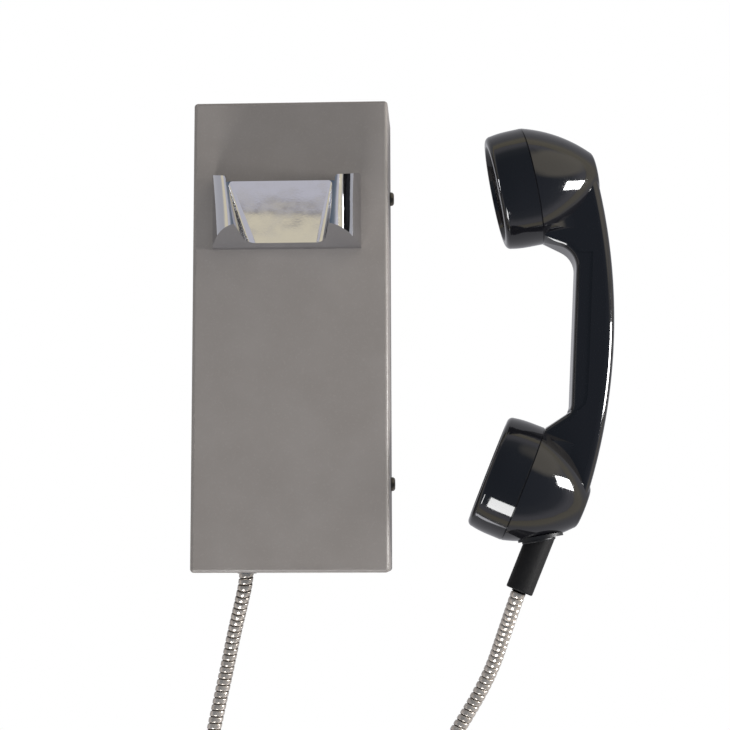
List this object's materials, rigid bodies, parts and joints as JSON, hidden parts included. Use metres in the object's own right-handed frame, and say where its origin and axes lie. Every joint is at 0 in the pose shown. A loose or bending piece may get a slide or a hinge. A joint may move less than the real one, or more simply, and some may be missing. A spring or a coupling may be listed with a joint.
{
  "type": "wall payphone",
  "caption": "Wall payphone: narrow grey steel housing, chrome cradle, and a black handset on a steel armoured cord.",
  "frame": {"origin": "centre of the back plate's outer face, which is the face that goes against the wall", "axes": "+Z out of the front panel, +Y to the top end of the housing, +X to its right side"},
  "size_m": [0.2277, 0.4421, 0.089],
  "materials": {
    "grey_paint": "fine textured powder coat, satin",
    "zinc_steel": "zinc plated",
    "dark_steel": "dark plated, satin",
    "chrome": "polished",
    "rubber": "satin",
    "board_green": "solder resist",
    "nickel": "nickel plated",
    "core_iron": "lacquered laminations",
    "copper": "enamelled winding",
    "matte_black": "moulded",
    "can_aluminium": "drawn can",
    "terminal_green": "moulded",
    "glass": "clear",
    "stainless": "stainless, bright",
    "wire_red": "insulation",
    "wire_green": "insulation",
    "white_plastic": "moulded",
    "black_gloss": "polished moulding",
    "foam": "open foam",
    "magnet": "nickel plated magnet"
  },
  "bodies": {
    "wall_unit": {"front_housing": "grey_paint", "back_plate": "zinc_steel", "cover_screws": "dark_steel", "clinch_nuts": "zinc_steel", "cradle": "chrome", "cradle_screws": "zinc_steel", "cable_grommet": "rubber", "circuit_board": "board_green", "board_standoffs": "nickel", "board_screws": "zinc_steel", "line_transformer": "core_iron", "transformer_winding": "copper", "hook_relay": "matte_black", "capacitors": "can_aluminium", "speech_chips": "matte_black", "terminal_block": "terminal_green", "terminal_screws": "nickel", "reed_holder": "matte_black", "reed_holder_screws": "zinc_steel", "reed_switch": "glass", "cord_bush": "stainless", "lanyard_clamp": "zinc_steel", "handset_wires": "wire_red", "reed_header": "white_plastic", "reed_wires": "wire_red", "line_wires": "wire_red", "ground_stud": "nickel", "ground_lead": "wire_green", "armoured_cord": "stainless"},
    "handset": {"handle_shell": "black_gloss", "receiver_cap": "black_gloss", "mouthpiece_cap": "black_gloss", "receiver_guard": "stainless", "mouthpiece_guard": "stainless", "receiver_foam": "foam", "mouthpiece_foam": "foam", "receiver_capsule": "can_aluminium", "microphone_capsule": "can_aluminium", "microphone_holder": "rubber", "hook_magnet": "magnet", "handle_wires": "wire_red", "cord_boot": "rubber", "boot_collar": "black_gloss", "cord_stop": "stainless"}
  },
  "joints": [
    {"name": "handset_lift", "type": "slide", "parent": "wall_unit", "child": "handset", "axis": [0, 0, 1], "range_m": [0, 0.15]}
  ]
}
